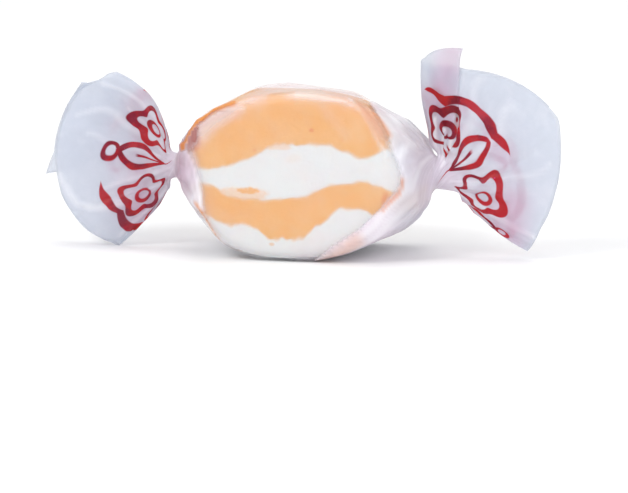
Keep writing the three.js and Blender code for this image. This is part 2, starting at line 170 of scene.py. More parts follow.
RIGHT_TINGES = [
    ([(0.79, -2.5), (0.815, -2.9), (0.853, -5.06)], 0.3, 0.85, 0.9),
    ([(0.905, -8.5), (0.945, -13.0)], 1.8, 0.55, 1),
    ([(0.648, -8.3), (0.674, -6.8), (0.69, -5.8), (0.70, -5.2)], 1.1, 0.7, 0.7),
    ([(0.664, -6.6), (0.681, -5.4), (0.70, -4.5)], 0.45, 0.9, 0.4),
    ([(1.115, 9.5), (1.14, 15.0)], 3.5, 0.7, 3),
    ([(0.38, 9.5), (0.50, 10.5)], 3.0, 0.6, 3),
    ([(0.43, -16.2), (0.43, -10.5)], 2.5, 0.3, 0.7),
]
# Lines where the paper clings to the taffy and is clear, with their half width.
LEFT_CLEAR = [
    ([(0.70, -3.2), (0.675, -5.0), (0.656, -8.6)], 1.1),
    ([(0.66, -14.4), (0.658, -17.0)], 1.1),
]
RIGHT_CLEAR = [
    ([(0.655, -8.2), (0.674, -6.9), (0.69, -5.9), (0.702, -5.2)], 1.1),
]
CLEARNESS = 0.85
# Tucks, where the paper lies over itself: one side stands out by the height and sinks back slowly.
LEFT_TUCKS = [
    ([(0.652, 0.8), (0.64, 2.6), (0.603, 6.0), (0.598, 10.4), (0.60, 13.0)], 0.42),
    ([(0.45, 0.8), (0.47, 4.0), (0.49, 8.0)], 0.3),
    ([(0.95, 0.8), (0.97, 5.0), (0.98, 10.0)], 0.35),
]
RIGHT_TUCKS = [
    ([(0.38, 0.6), (0.353, 2.0), (0.335, 4.7), (0.304, 10.8), (0.29, 15.0)], 0.42),
    ([(0.22, 0.8), (0.23, 4.0), (0.235, 8.0)], 0.25),
    ([(0.72, 0.8), (0.74, 5.0), (0.75, 10.0)], 0.35),
]
# The edges of the doubled paper of each end of the body, from below to above.
LEFT_FLAP = [
    (0.87, -4.2), (0.86, -5.3), (0.812, -4.9), (0.78, -4.4), (0.737, -3.3),
    (0.728, -4.3), (0.69, -4.6), (0.63, -3.6), (0.55, -3.2), (0.42, -4.0),
]
RIGHT_FLAP = [
    (0.975, -15.0), (0.933, -13.5), (0.915, -11.6), (0.888, -7.75), (0.853, -5.06), (0.815, -2.9),
    (0.777, -2.4), (0.754, -2.9), (0.70, -4.3), (0.661, -6.1), (0.585, -8.0),
    (0.48, -9.0), (0.38, -9.4), (0.30, -8.0), (0.2, -4.0),
]
FLAP_STEP = 0.1
FLAP_EDGE = 0.8
MILKY_EDGE = 0.35
MILKY_SIDE = 0.52
MILKY_FLAP = 1.35
TUCK_LENGTH = 4.5
TUCK_EDGE = 0.3
TUCK_FADE = 1.5
# How wide a whole turn of the sheet is on the body, at the neck and at the rim of a tail.
WIDTH_ON_BODY = 72
WIDTH_AT_NECK = 11
WIDTH_AT_RIM = 83

LEFT_END = dict(
    side=-1,
    neck_place=17.3,
    neck_radius=1.45,
    neck_slant=0,
    bulge=0.3,
    bulge_below=0,
    twist=-100,
    fan_top=(96, 15),
    fan_bottom=(-76, -32),
    mouth_half=2.2,
    shift=[(0, 0), (1.156, 0)],
    shift_at_rim=[(0, 0), (1.156, 0)],
    reach=[
        (0, 18.1), (0.03, 16.8), (0.15, 16.4), (0.162, 15.5), (0.175, 14.5), (0.19, 13.8), (0.235, 13.5),
        (0.268, 14.15), (0.28, 14.25), (0.34, 14.45), (0.362, 14.7), (0.39, 15.6), (0.41, 15.75),
        (0.5, 15.6), (0.56, 15.2), (0.63, 13.8), (0.7, 12.4), (0.76, 12.0), (0.84, 13.0), (0.9, 14.7),
        (0.96, 16.4), (1.156, 16.5),
    ],
    folds=LEFT_FOLDS,
    tinges=LEFT_TINGES,
    clear=LEFT_CLEAR,
    tucks=LEFT_TUCKS,
    flap=LEFT_FLAP,
)
RIGHT_END = dict(
    side=1,
    neck_place=16.2,
    neck_radius=1.95,
    neck_slant=2.0,
    bulge=1.1,
    bulge_below=0.3,
    twist=174,
    fan_top=(105, 92),
    fan_bottom=(-58, -20),
    mouth_half=2.2,
    shift=[(0, -0.9), (0.1, 0), (0.85, 0), (1.03, -1.5), (1.156, 2.0)],
    shift_at_rim=[(0, -0.9), (0.1, 0), (0.85, 0), (1.03, -1.4), (1.156, -1.0)],
    reach=[
        (0, 12.0), (0.1, 12.4), (0.156, 13.4), (0.2, 14.4), (0.25, 16.2), (0.283, 17.0), (0.312, 15.9),
        (0.36, 14.1), (0.41, 13.1), (0.5, 12.6), (0.63, 12.6), (0.69, 13.5), (0.75, 15.1), (0.79, 15.6),
        (0.84, 14.2), (0.9, 12.8), (0.97, 12.6), (1.03, 13.0), (1.07, 13.6), (1.11, 14.9), (1.156, 16.1),
    ],
    folds=RIGHT_FOLDS,
    tinges=RIGHT_TINGES,
    clear=RIGHT_CLEAR,
    tucks=RIGHT_TUCKS,
    flap=RIGHT_FLAP,
)

# Where the paper clings to the side of the lump, as directions about the outline and half widths.
CLINGS = [(140, 24), (40, 18), (245, 34)]
# How many degrees the ends of those places wander behind the front edge.
CLING_WANDER = 5
# Where the paper stands off from the front face beside its edge: direction, half width, how milky
# and from which part of the face's reach on.
LOOSE_EDGES = [(146, 22, 1.5, 0.74), (5, 22, 0.55, 0.82), (80, 30, 0.2, 0.82)]

# The painted highlight on the paper's crease along the lump's edge is broad in this range of directions and
# thin elsewhere.
UPPER_EDGE_HIGHLIGHT = (92, 50)
# Where that painted highlight is faint.
FAINT_EDGE_HIGHLIGHT = (107, 15)
EDGE_HIGHLIGHT_FAINTNESS = 0.75
SHARPNESS_ABOVE = 9
SHARPNESS_ELSEWHERE = 36

# The folds of paper that fill the middle of each twist.
GATHER_LENGTH = 3.2
GATHER_RIDGES = 7
GATHER_TWIST = 0.5
GATHER_DEPTHS = (0.4, 0.95)
GATHER_ROWS = 32
GATHER_SPOKES = 98
GATHER_MILKY = 1.5

# How finely the paper is divided.
COLUMNS_PER_TURN = 224
BODY_ROWS = 44
NECK_ROWS = 20
TAIL_ROWS = 30

# The print on the tails, on the flat sheet: an ornament of rosettes, leaves and scallops.
PRINT_WIDTH = 46
PRINT_PITCH = 11.5
INK_SOFTNESS = 0.08


def smooth_step(low, high, value):
    part = np.clip((value - low) / (high - low), 0, 1)
    return part * part * (3 - 2 * part)


def lerp(a, b, part):
    return a + (b - a) * part


def hermite(left, right, left_slope, right_slope, part):
    from_left = (1 + 2 * part) * (1 - part) ** 2 * left + part * (1 - part) ** 2 * left_slope
    from_right = part**2 * (3 - 2 * part) * right + part**2 * (part - 1) * right_slope
    return from_left + from_right


def smooth_through(places, heights, place):
    """A smooth curve through a short list of heights, each at its own place."""
    places = np.asarray(places, float)
    heights = np.asarray(heights, float)
    last = len(places) - 1
    at = np.clip(place, places[0], places[-1])
    step = np.clip(np.searchsorted(places, at, side="right") - 1, 0, last - 1)
    before = np.maximum(np.arange(last + 1) - 1, 0)
    after = np.minimum(np.arange(last + 1) + 1, last)
    slopes = (heights[after] - heights[before]) / (places[after] - places[before])
    span = places[step + 1] - places[step]
    part = (at - places[step]) / span
    return hermite(heights[step], heights[step + 1], span * slopes[step], span * slopes[step + 1], part)


def smooth_round(values, angle):
    """A smooth closed curve through values that stand evenly round a turn."""
    values = np.asarray(values, float)
    count = len(values)
    at = (angle / TURN) % 1 * count
    step = np.floor(at).astype(int)
    slopes = (np.roll(values, -1) - np.roll(values, 1)) / 2
    here, there = step % count, (step + 1) % count
    return hermite(values[here], values[there], slopes[here], slopes[there], at - step)


def soft_noise(turn, along, cycles, length, seed, waves=28):
    """A smooth random field of about unit size that repeats after a whole turn."""
    rng = np.random.default_rng(seed)
    total = np.zeros(np.broadcast(turn, along).shape)
    for _ in range(waves):
        count = int(rng.integers(-cycles, cycles + 1))
        pace = rng.uniform(-1, 1) / length
        total += np.sin(TURN * (count * turn + pace * along + rng.uniform()))
    return total * math.sqrt(2 / waves)


def outline_swell(angle, y):
    back = (np.clip(y / HALF_DEPTH, -1, 1) + 1) / 2
    return 1 + lerp(smooth_round(FRONT_SWELL, angle), smooth_round(BACK_SWELL, angle), back)


def outline_gauge(x, y, z):
    """Below 1 inside the outline of the lump's faces, 1 on it and above 1 outside it."""
    across_x, across_z = x / HALF_WIDTH, z / HALF_HEIGHT
    outline = np.abs(across_x) ** OUTLINE_POWER + np.abs(across_z) ** OUTLINE_POWER
    return outline ** (1 / OUTLINE_POWER) / outline_swell(np.arctan2(across_z, across_x), y)


def lump_gauge(x, y, z):
    """Below 1 inside the lump, 1 on its surface and above 1 outside it."""
    return outline_gauge(x, y, z) ** EDGE_POWER + np.abs(y / HALF_DEPTH) ** EDGE_POWER


def panel_places():
    """For each panel of paper: where it faces, and how far it is from the axis in front and behind."""
    around = np.linspace(0, TURN, 721)
    panels = []
    for heading in np.radians(PANEL_HEADINGS):
        distances = []
        for y in (-HALF_DEPTH, HALF_DEPTH):
            reach = 1 / outline_gauge(np.cos(around), y, np.sin(around))
            distances.append(np.max(reach * np.cos(around - heading)) + PAPER_STAND_OFF)
        panels.append((math.cos(heading), math.sin(heading), *distances))
    return panels


def paper_parts(x, y, z):
    """How close to the paper's side panels and to its faces a point is: 1 is on the paper."""
    back = (np.clip(y / HALF_DEPTH, -1, 1) + 1) / 2
    total = 0
    for out_x, out_z, front, rear in PANELS:
        total = total + np.maximum((x * out_x + z * out_z) / lerp(front, rear, back), 0) ** PANEL_POWER
    side = total ** (PAPER_EDGE_POWER / PANEL_POWER)
    return side, np.abs(y / (HALF_DEPTH + PAPER_STAND_OFF)) ** PAPER_EDGE_POWER


def bisected(inside_at, low, high, steps=26):
    """Where inside_at stops holding between low and high, for whole arrays at once."""
    for _ in range(steps):
        middle = (low + high) / 2
        inside = inside_at(middle)
        low = np.where(inside, middle, low)
        high = np.where(inside, high, middle)
    return low


def paper_reach(x, angle):
    """How far the paper on the lump is from the twist axis. The angle is 0 to the front, 90 up."""
    def inside_at(reach):
        side, face = paper_parts(x, -reach * np.cos(angle), reach * np.sin(angle))
        return side + face < 1

    nothing = np.zeros(np.broadcast(x, angle).shape)
    return bisected(inside_at, nothing, nothing + HALF_WIDTH + HALF_HEIGHT)


def make_mesh(name, points, faces, smooth=True):
    """A mesh object from points in millimetres about the twist axis."""
    placed = (np.asarray(points, float).reshape(-1, 3) + (0, 0, REST_DEPTH)) * MM
    mesh = bpy.data.meshes.new(name)
    mesh.from_pydata(placed.tolist(), [], faces)
    mesh.update()
    mesh.polygons.foreach_set("use_smooth", [smooth] * len(mesh.polygons))
    piece = bpy.data.objects.new(name, mesh)
    bpy.context.scene.collection.objects.link(piece)
    return piece


def add_attribute(piece, name, values):
    """Stores one number for each point of the mesh."""
    layer = piece.data.attributes.new(name, "FLOAT", "POINT")
    layer.data.foreach_set("value", np.asarray(values, np.float32).ravel())


def grid_faces(rows, columns, closed):
    """The quads between the rows of a grid of points, joined round if it is closed."""
    across = columns if closed else columns - 1
    row, column = np.meshgrid(np.arange(rows - 1), np.arange(across), indexing="ij")
    here = row * columns + column
    right = row * columns + (column + 1) % columns
    return np.stack([here, right, right + columns, here + columns], -1).reshape(-1, 4)


# The taffy

PANELS = panel_places()
RAGGED = dict(top=(0.09, 11), middle=(0.08, 12), bottom=(0.19, 13))


def seam(heights, ragged):
    """The height of a seam as a function of x and y, with the small teeth of a cut edge."""
    depth, seed = RAGGED[ragged]

    def height(x, y):
        drift = SEAM_DRIFT * (y / HALF_DEPTH + 1) / 2
        wave = SEAM_WAVE_HEIGHT * drift * np.sin(x / SEAM_WAVE_LENGTH)
        place = x / 60
        teeth = soft_noise(place, y, 26, 9, seed) + 0.35 * soft_noise(place, y, 60, 6, seed + 50)
        return smooth_through(*zip(*heights), x + drift) - wave + depth * teeth

    return height


def layer_points(lower, upper, rings, spokes):
    """Rings of points round one layer, from its lower seam to its upper one."""
    part = (1 - np.cos(np.linspace(0, np.pi, rings))) / 2
    spoke = np.arange(spokes) * TURN / spokes
    # The spokes crowd at the corners of the lump, where it bends most.
    heading = spoke - 0.18 * np.sin(4 * spoke)
    part, heading = np.meshgrid(part, heading, indexing="ij")

    def height(reach):
        x, y = reach * np.cos(heading), reach * np.sin(heading)
        return lerp(lower(x, y), upper(x, y), part)

    def inside_at(reach):
        x, y = reach * np.cos(heading), reach * np.sin(heading)
        return lump_gauge(x, y, height(reach)) < 1

    reach = bisected(inside_at, np.zeros(part.shape), np.full(part.shape, HALF_WIDTH + 4.0))
    x, y = reach * np.cos(heading), reach * np.sin(heading)
    z = height(reach)
    from_seam = np.minimum(z - lower(x, y), upper(x, y) - z)
    return np.stack([x, y, np.maximum(z, CANDY_FLOOR)], -1), from_seam


def cap_points(ring, height, steps):
    """Rings that close a layer, from its last ring in to the middle."""
    inward = [ring * (1, 1, 0) * (1 - step / (steps + 1)) for step in range(1, steps + 1)]
    rings = np.array(inward)
    rings[..., 2] = np.maximum(height(rings[..., 0], rings[..., 1]), CANDY_FLOOR)
    middle = np.array([0.0, 0.0, max(float(height(np.zeros(1), np.zeros(1))[0]), CANDY_FLOOR)])
    return rings, middle


def make_layer(name, lower, upper, rings=44, spokes=360, cap_steps=10):
    side, from_seam = layer_points(lower, upper, rings, spokes)
    low_rings, low_middle = cap_points(side[0], lower, cap_steps)
    high_rings, high_middle = cap_points(side[-1], upper, cap_steps)
    grid = np.concatenate([low_rings[::-1], side, high_rings])
    points = np.concatenate([grid.reshape(-1, 3), [low_middle], [high_middle]])
    faces = grid_faces(len(grid), spokes, closed=True).tolist()
    low, high = len(points) - 2, len(points) - 1
    last = (len(grid) - 1) * spokes
    for spoke in range(spokes):
        following = (spoke + 1) % spokes
        faces.append([low, following, spoke])
        faces.append([high, last + spoke, last + following])
    layer = make_mesh(name, points, faces)
    within = np.zeros((cap_steps, spokes))
    add_attribute(layer, "from_seam", np.concatenate([within, from_seam, within]).ravel().tolist() + [0, 0])
    return layer


def plain_floor(x, y):
    return np.full(np.shape(x), -HALF_HEIGHT - 1.0)


def plain_top(x, y):
    """The height of the lump above the twist axis, which falls towards the back."""
    return HALF_HEIGHT * outline_swell(TURN / 4, y) + 0 * x


def shifted(height, by):
    return lambda x, y: height(x, y) + by


# The paper


def rows_of(end):
    """The places of the rows of paper of one end: a function of the turn for each."""
    neck = end["neck_place"]
    body = np.linspace(0, neck - TWIST_BEFORE_NECK, BODY_ROWS, endpoint=False)
    waist = np.linspace(neck - TWIST_BEFORE_NECK, neck + TWIST_BEYOND_NECK, NECK_ROWS)
    turn = sheet_turns()
    reach = np.interp(turn, *zip(*end["reach"]))
    parts = np.linspace(0, 1, TAIL_ROWS + 1)[1:, None]
    tail = neck + TWIST_BEYOND_NECK + parts * (reach - TWIST_BEYOND_NECK)
    fixed = np.concatenate([body, waist])[:, None] + 0 * turn
    return np.concatenate([fixed, tail])


def sheet_turns():
    count = round(COLUMNS_PER_TURN * (1 + LAP_TURNS)) + 1
    return np.linspace(0, 1 + LAP_TURNS, count)


def stand_off_at(angle):
    """The paper lies on the faces and stands off a little above the top."""
    return PAPER_STAND_OFF + PAPER_ABOVE_TOP * np.clip(np.sin(angle), 0, 1) ** 4


def taut_reach(end, along, angle):
    """The paper lies on the lump, then runs straight from it to the neck, with air under it."""
    lump_end = HALF_WIDTH + PAPER_STAND_OFF + END_SWELL
    on_lump = np.minimum(along, lump_end)
    lump = paper_reach(end["side"] * on_lump, angle)
    reach = lump + (stand_off_at(angle) - PAPER_STAND_OFF)
    fine_angle = np.linspace(0, TURN, 721)
    bulge = end["bulge"] + end["bulge_below"] * np.maximum(0, -np.sin(angle))
    for start_place in np.linspace(0, lump_end, 120):
        around = paper_reach(end["side"] * start_place, fine_angle)
        around = around + stand_off_at(fine_angle) - PAPER_STAND_OFF
        start = np.interp(angle % TURN, fine_angle, around)
        part = (along - start_place) / (end["neck_place"] - start_place)
        air = bulge * AIR_SHAPE * part * (1 - part) ** 2 * smooth_step(AIR_FROM, AIR_FULL, start_place)
        line = lerp(start, end["neck_radius"], part) + air
        reach = np.where(part >= 0, np.maximum(reach, line), reach)
    return reach, np.where(along < lump_end, reach - lump, 2 + along - lump_end)


def fan_direction(end, height, beyond):
    part = np.minimum(beyond / FAN_LENGTH, 1)
    top = lerp(*end["fan_top"], part)
    bottom = lerp(*end["fan_bottom"], part)
    opened = smooth_step(FAN_OPENS_FROM, FAN_OPEN_AT, beyond)
    return np.radians(opened * lerp(bottom, top, (height + 1) / 2))


def body_points(end, along, angle):
    reach, gap = taut_reach(end, along, angle)
    height, front = np.sin(angle), np.cos(angle)
    points = np.stack([end["side"] * along, -front * reach, height * reach], -1)
    away = np.stack([0 * along, -front, height], -1)
    return points, away, gap


def tail_points(end, along, angle, turn):
    height, front = np.sin(angle), np.cos(angle)
    beyond = np.maximum(along - end["neck_place"], 0)
    slant = end["neck_slant"] * smooth_step(0, SLANT_LENGTH, beyond) * (1 - height) / 2
    x = end["neck_place"] + slant
    z = end["neck_radius"] * height
    steps = 32
    for step in range(steps):
        direction = fan_direction(end, height, beyond * (step + 0.5) / steps)
        x = x + np.cos(direction) * beyond / steps
        z = z + np.sin(direction) * beyond / steps
    wave = np.cos(TURN * RIPPLES_PER_TURN * turn + 1)
    ripple = RIPPLE_DEPTH * smooth_step(RIPPLES_FROM, FAN_LENGTH, beyond) * wave
    half = lerp(end["neck_radius"], end["mouth_half"], smooth_step(0, FAN_LENGTH, beyond)) + ripple
    direction = fan_direction(end, height, beyond)
    # The loose edges of the sheet stand aside from the fan.
    at_neck = np.interp(turn, *zip(*end["shift"]))
    at_rim = np.interp(turn, *zip(*end["shift_at_rim"]))
    shift = lerp(at_neck, at_rim, np.clip(beyond / FAN_LENGTH, 0, 1))
    x = x + shift * smooth_step(0, SHIFT_FULL_AT, beyond)
    points = np.stack([end["side"] * x, -half * front, z], -1)
    away = np.stack([-end["side"] * np.sin(direction) * height, -front, np.cos(direction) * height], -1)
    return points, away


def width_of_turn(beyond):
    """How many millimetres a whole turn of the sheet covers there."""
    on_tail = lerp(WIDTH_AT_NECK, WIDTH_AT_RIM, np.clip(beyond / FAN_LENGTH, 0, 1))
    on_body = lerp(WIDTH_AT_NECK, WIDTH_ON_BODY, smooth_step(0, 10, -beyond))
    return np.where(beyond > 0, on_tail, on_body)


def place_on_line(line, turn, beyond):
    """The distance from a line on the sheet, signed by the side, and how far past its ends."""
    width = width_of_turn(beyond)
    nearest = np.full(turn.shape, 1e3)
    signed = np.full(turn.shape, 1e3)
    past = np.full(turn.shape, 1e3)
    last = len(line) - 2
    for place, ((turn_a, beyond_a), (turn_b, beyond_b)) in enumerate(zip(line, line[1:])):
        run_x, run_y = (turn_b - turn_a) * width, beyond_b - beyond_a
        from_x, from_y = (turn - turn_a) * width, beyond - beyond_a
        length = np.hypot(run_x, run_y)
        free = (from_x * run_x + from_y * run_y) / length**2
        part = np.clip(free, 0, 1)
        distance = np.hypot(from_x - part * run_x, from_y - part * run_y)
        before_start = np.where(place == 0, np.maximum(-free, 0), 0)
        after_end = np.where(place == last, np.maximum(free - 1, 0), 0)
        side = np.sign(from_x * run_y - from_y * run_x)
        closer = distance < nearest
        signed = np.where(closer, side * distance, signed)
        past = np.where(closer, (before_start + after_end) * length, past)
        nearest = np.minimum(distance, nearest)
    return signed, past


def crease_height(folds, turn, beyond):
    """Sharp ridges along the lines of folds."""
    total = np.zeros(turn.shape)
    for line, height, half_width in folds:
        signed, _ = place_on_line(line, turn, beyond)
        total = np.maximum(total, height * smooth_step(half_width, 0, np.abs(signed)))
    return total


def tuck_height(line, height, turn, beyond, edge=TUCK_EDGE):
    """A step up at a line, which then sinks back away from it."""
    signed, past = place_on_line(line, turn, beyond)
    step = smooth_step(-edge, 0, signed) * np.exp(-np.maximum(signed, 0) / TUCK_LENGTH)
    return height * step * smooth_step(TUCK_FADE, 0, past)


def fold_depth(end, turn, beyond, gap):
    """How far the paper's folds stand out: pleats round the neck and soft folds in the tail, and the painted
    highlight along the creases and pleat ridges.
    """
    seed = 100 + end["side"]
    wander = 0.06 * soft_noise(turn, beyond, 3, 14, seed)
    ridge = 1 - np.abs(np.sin(np.pi * 11 * (turn + wander)))
    second = 1 - np.abs(np.sin(np.pi * 17 * (turn - wander)))
    pleat = 0.6 * ridge**1.5 + 0.35 * second**2
    near_neck = np.exp(-np.abs(beyond) / 4.2)
    loose = smooth_step(0.25, 1.6, gap)
    pleats = 0.6 * pleat * near_neck * loose
    soft = 0.3 * soft_noise(turn, beyond, 5, 22, seed + 10) * smooth_step(3, 9, beyond)
    fine = 0.07 * soft_noise(turn, beyond, 22, 9, seed + 20) * smooth_step(0.5, 4, beyond)
    crumple = soft_noise(turn, beyond, 24, 9, seed + 30) * smooth_step(0.15, 1.5, gap)
    crumple = 0.035 * crumple * smooth_step(0.5, 2, -beyond)
    bent = turn + 0.006 * soft_noise(turn, beyond, 4, 7, seed + 40)
    creases = crease_height(end["folds"], bent, beyond)
    tucks = sum(tuck_height(line, height, turn, beyond) for line, height in end["tucks"])
    flap = tuck_height(end["flap"], FLAP_STEP, turn, beyond, FLAP_EDGE)
    # A painted highlight along the ridges of the pleats near the neck.
    pleat_highlights = 0.5 * ridge**8 * near_neck * loose
    folds = pleats + soft + fine + crumple + tucks + flap + creases
    # The twist pulls the folds flat where it is tightest.
    folds = folds * smooth_step(*PULLED_FLAT, np.abs(beyond))
    # The paper on the body sinks no deeper than the taffy under it.
    folds = np.where(beyond < 0, np.maximum(folds, -0.04 - 0.5 * gap), folds)
    return folds, np.maximum(creases / 0.14, pleat_highlights)


def tinge_of(end, turn, beyond):
    """How much of the taffy's colour shows through the folded paper, and which hue it has; the mauve hue is
    painted shade.
    """
    total = np.zeros(turn.shape)
    hue = np.zeros(turn.shape)
    for line, half_width, strength, line_hue in end["tinges"]:
        signed, _ = place_on_line(line, turn, beyond)
        tinge = strength * smooth_step(half_width, 0, np.abs(signed))
        hue = np.where(tinge > total, line_hue, hue)
        total = np.maximum(total, tinge)
    return total, hue


def sector(direction, heading, half_width):
    """1 in the middle of a range of directions about the outline, in degrees, and 0 outside it."""
    off = np.abs((direction - heading + 180) % 360 - 180)
    return smooth_step(half_width, half_width * 0.4, off)


def milkiness(end, points, turn, beyond, gap):
    """How much the paper hides what is under it, and a painted highlight where the edge of the lump creases
    it.
    """
    x, y, z = np.moveaxis(points, -1, 0)
    side, face = paper_parts(x, y, z)
    direction = np.degrees(np.arctan2(z, x))
    on_side = side / (side + face)
    reach = side ** (1 / PAPER_EDGE_POWER)
    wander = CLING_WANDER * soft_noise(turn, beyond, 5, 12, 77) * smooth_step(-6, 0, y)
    cling = sum(sector(direction + wander, *place) for place in CLINGS)
    on_front = np.where(y < 0, 1 - on_side, 0)
    loose_edge = sum(
        depth * sector(direction, heading, half) * smooth_step(start, 1, reach)
        for heading, half, depth, start in LOOSE_EDGES
    )
    clung = 1 - CLEARNESS * np.clip(cling, 0, 1)
    milky = np.maximum(MILKY_SIDE * on_side * clung, loose_edge * on_front)
    milky = np.maximum(milky, 1.4 * smooth_step(0.25, 1.6, gap))
    for line, half_width in end["clear"]:
        distance = np.abs(place_on_line(line, turn, beyond)[0])
        milky = milky * (1 - CLEARNESS * smooth_step(half_width, 0.5 * half_width, distance))
    signed, past = place_on_line(end["flap"], turn, beyond)
    doubled = smooth_step(-MILKY_EDGE, 0, signed) * smooth_step(3, 0, past)
    milky = np.maximum(milky, np.where(beyond > 0, 1, MILKY_FLAP * doubled))
    # A painted highlight along the crease at the lump's edge: broad above, thin elsewhere.
    upper = sector(direction, *UPPER_EDGE_HIGHLIGHT)
    sharpness = lerp(SHARPNESS_ELSEWHERE, SHARPNESS_ABOVE, upper)
    edge = (4 * side * face / (side + face) ** 2) ** sharpness * smooth_step(1.2, 0.4, gap)
    edge = edge * lerp(0.5, 0.8, upper) * (1 - EDGE_HIGHLIGHT_FAINTNESS * sector(direction, *FAINT_EDGE_HIGHLIGHT))
    return milky, edge * (beyond < 0)


def end_of_sheet(end):
    """Points, directions away from the twist, sheet places and looks of one end of the paper."""
    along = rows_of(end)
    turn = np.broadcast_to(sheet_turns(), along.shape)
    neck = end["neck_place"]
    twisted = smooth_step(neck - TWIST_BEFORE_NECK, neck + TWIST_BEYOND_NECK, along)
    angle = np.radians(LAP_EDGE_ANGLE + 360 * (1 + LAP_TURNS - turn) + end["twist"] * twisted)
    body, body_away, gap = body_points(end, np.minimum(along, neck), angle)
    tail, tail_away = tail_points(end, along, angle, turn)
    in_body = (along <= neck)[..., None]
    points = np.where(in_body, body, tail)
    away = np.where(in_body, body_away, tail_away)
    beyond = along - neck
    gap = np.where(along <= neck, gap, 5 + beyond)
    folds, creases = fold_depth(end, turn, beyond, gap)
    milky, edge = milkiness(end, points, turn, beyond, gap)
    tinge, hue = tinge_of(end, turn, beyond)
    return points, away, turn, beyond, folds, np.maximum(creases, edge), milky, tinge, hue


def unit(vectors):
    return vectors / np.linalg.norm(vectors, axis=-1, keepdims=True)


def grid_normals(points):
    down_the_turn = np.gradient(points, axis=1)
    along_the_rows = np.gradient(points, axis=0)
    return unit(np.cross(down_the_turn, along_the_rows))


def make_wrapper():
    left = end_of_sheet(LEFT_END)
    right = end_of_sheet(RIGHT_END)
    joined = [np.concatenate([a[::-1][:-1], b]) for a, b in zip(left, right)]
    points, away, turn, beyond, folds, creases, milky, tinge, hue = joined
    outward = grid_normals(points)
    lap_direction = unit(away + outward)
    points = points + lap_direction * (LAP_STEP * turn)[..., None] + outward * folds[..., None]
    outward = grid_normals(points)
    lift = np.where(turn < 0.5, LAP_LIFT, 0)
    sides = []
    for sign in (1, -1):
        side = points + outward * sign * PAPER_THICKNESS / 2
        lowest = -REST_DEPTH + lift + (PAPER_THICKNESS if sign < 0 else 0)
        side[..., 2] = np.maximum(side[..., 2], lowest)
        sides.append(side)
    rows, columns = turn.shape
    count = rows * columns
    outer = grid_faces(rows, columns, closed=False)
    inner = outer[:, ::-1] + count
    border = np.concatenate([
        np.arange(columns),
        columns * np.arange(1, rows) + columns - 1,
        (rows - 1) * columns + np.arange(columns - 2, -1, -1),
        columns * np.arange(rows - 2, 0, -1),
    ])
    following = np.roll(border, -1)
    rim = np.stack([following, border, border + count, following + count], -1)
    faces = np.concatenate([outer, inner, rim]).tolist()
    piece = make_mesh("paper_wrapper", np.concatenate(sides), faces)
    add_attribute(piece, "sheet_turn", [turn, turn])
    add_attribute(piece, "beyond_neck", [beyond, beyond])
    add_attribute(piece, "milky", [milky, milky])
    # A painted highlight along the creases, the pleat ridges and the lump's edge.
    add_attribute(piece, "crease_highlight", [creases, creases])
    add_attribute(piece, "tinge", [tinge, tinge])
    add_attribute(piece, "hue", [hue, hue])
    add_attribute(piece, "inside", [0 * turn, 0 * turn + 1])
    return piece


def make_gather(name, end):
    """The folds of the paper inside a twist: a twisted spindle with ridges."""
    along = np.linspace(-1, 1, GATHER_ROWS)[:, None]
    around = np.arange(GATHER_SPOKES)[None, :] * TURN / GATHER_SPOKES
    ridges = np.abs(np.cos(GATHER_RIDGES / 2 * (around + GATHER_TWIST * GATHER_LENGTH * along)))
    taper = np.sqrt(np.maximum(1 - along**2, 0.0001))
    reach = end["neck_radius"] * lerp(*GATHER_DEPTHS, ridges) * taper
    x = end["side"] * (end["neck_place"] + GATHER_LENGTH * along) + 0 * around
    points = np.stack([x, reach * np.cos(around), reach * np.sin(around)], -1)
    faces = grid_faces(GATHER_ROWS, GATHER_SPOKES, closed=True).tolist()
    piece = make_mesh(name, points, faces)
    add_attribute(piece, "milky", 0 * x + GATHER_MILKY)
    return piece


# Materials


class Number:
    """A number in a shader tree. Arithmetic on it adds the nodes."""

    def __init__(self, tree, socket):
        self.tree = tree
        self.socket = socket

    def math(self, operation, *others):
        node = self.tree.nodes.new("ShaderNodeMath")
        node.operation = operation
        for place, value in enumerate((self, *others)):
            if isinstance(value, Number):
                self.tree.links.new(value.socket, node.inputs[place])
            else:
                node.inputs[place].default_value = value
        return Number(self.tree, node.outputs[0])

    def __add__(self, other):
        return self.math("ADD", other)

    def __sub__(self, other):
        return self.math("SUBTRACT", other)

    def __mul__(self, other):
        return self.math("MULTIPLY", other)

    def __truediv__(self, other):
        return self.math("DIVIDE", other)

    def __abs__(self):
        return self.math("ABSOLUTE")

    def sine(self):
        return self.math("SINE")

    def cosine(self):
        return self.math("COSINE")

    def fraction(self):
        return self.math("FRACT")

    def at_least(self, other):
        return self.math("MAXIMUM", other)

    def at_most(self, other):
        return self.math("MINIMUM", other)

    def step(self, low, high):
        """0 up to low, 1 from high on, smooth between; low may be above high."""
        node = self.tree.nodes.new("ShaderNodeMapRange")
        node.interpolation_type = "SMOOTHSTEP"
        self.tree.links.new(self.socket, node.inputs["Value"])
        flipped = low > high
        node.inputs["From Min"].default_value = min(low, high)
        node.inputs["From Max"].default_value = max(low, high)
        node.inputs["To Min"].default_value = 1 if flipped else 0
        node.inputs["To Max"].default_value = 0 if flipped else 1
        return Number(self.tree, node.outputs["Result"])

    def drawn(self, half_width):
        """1 where the number is nearly zero: a drawn line, which may swell along its length."""
        return (abs(self) - half_width).step(INK_SOFTNESS, -INK_SOFTNESS)


def attribute(tree, name):
    node = tree.nodes.new("ShaderNodeAttribute")
    node.attribute_name = name
    return Number(tree, node.outputs["Fac"])


def noise(tree, scale, detail=2.0, roughness=0.5):
    """Noise about 0 to 1 in the object's own space; scale is in lumps a metre."""
    place = tree.nodes.new("ShaderNodeTexCoord")
    node = tree.nodes.new("ShaderNodeTexNoise")
    node.inputs["Scale"].default_value = scale
    node.inputs["Detail"].default_value = detail
    node.inputs["Roughness"].default_value = roughness
    tree.links.new(place.outputs["Object"], node.inputs["Vector"])
    return Number(tree, node.outputs["Fac"])


